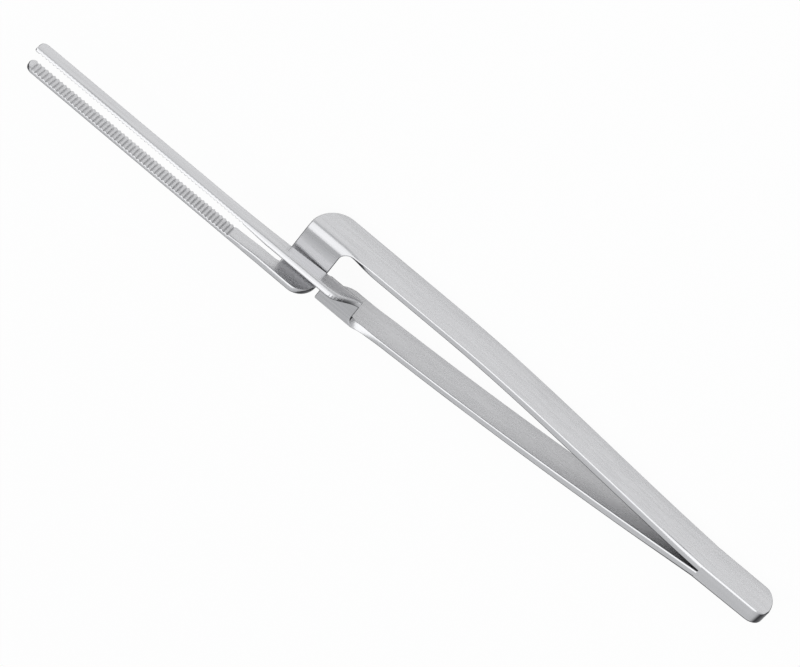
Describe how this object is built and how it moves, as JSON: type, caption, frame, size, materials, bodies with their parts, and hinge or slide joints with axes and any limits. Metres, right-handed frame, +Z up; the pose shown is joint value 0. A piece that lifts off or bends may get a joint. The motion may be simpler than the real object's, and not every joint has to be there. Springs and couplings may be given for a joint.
{
  "type": "articulating paper forceps",
  "caption": "Flat sheet-steel dental forceps: two welded spring arms that cross ahead of the handle, so squeezing opens two long, finely serrated jaws.",
  "frame": {"origin": "middle of the flat lower edge of the welded end, on the plane that the forceps lie on", "axes": "+X from the welded end to the jaw tips, +Y from the upper arm across the gap to the lower arm, +Z up from the table towards the side that carries the flanges and jaws"},
  "size_m": [0.15, 0.0117, 0.0121],
  "materials": {
    "steel": "satin, brushed along the length"
  },
  "bodies": {
    "welded_end": {"welded_end": "steel"},
    "upper_arm": {"upper_arm": "steel"},
    "lower_arm": {"lower_arm": "steel"}
  },
  "joints": [
    {"name": "upper_arm_flex", "type": "hinge", "parent": "welded_end", "child": "upper_arm", "pos_m": [0.00552, -0.0007, 0.0036], "axis": [0, 0, 1], "range_deg": [-0.62, 1.7], "stiffness_Nm_per_rad": 4},
    {"name": "lower_arm_flex", "type": "hinge", "parent": "welded_end", "child": "lower_arm", "pos_m": [0.00552, 0.001, 0.0036], "axis": [0, 0, -1], "range_deg": [-0.62, 1.7], "stiffness_Nm_per_rad": 4}
  ]
}
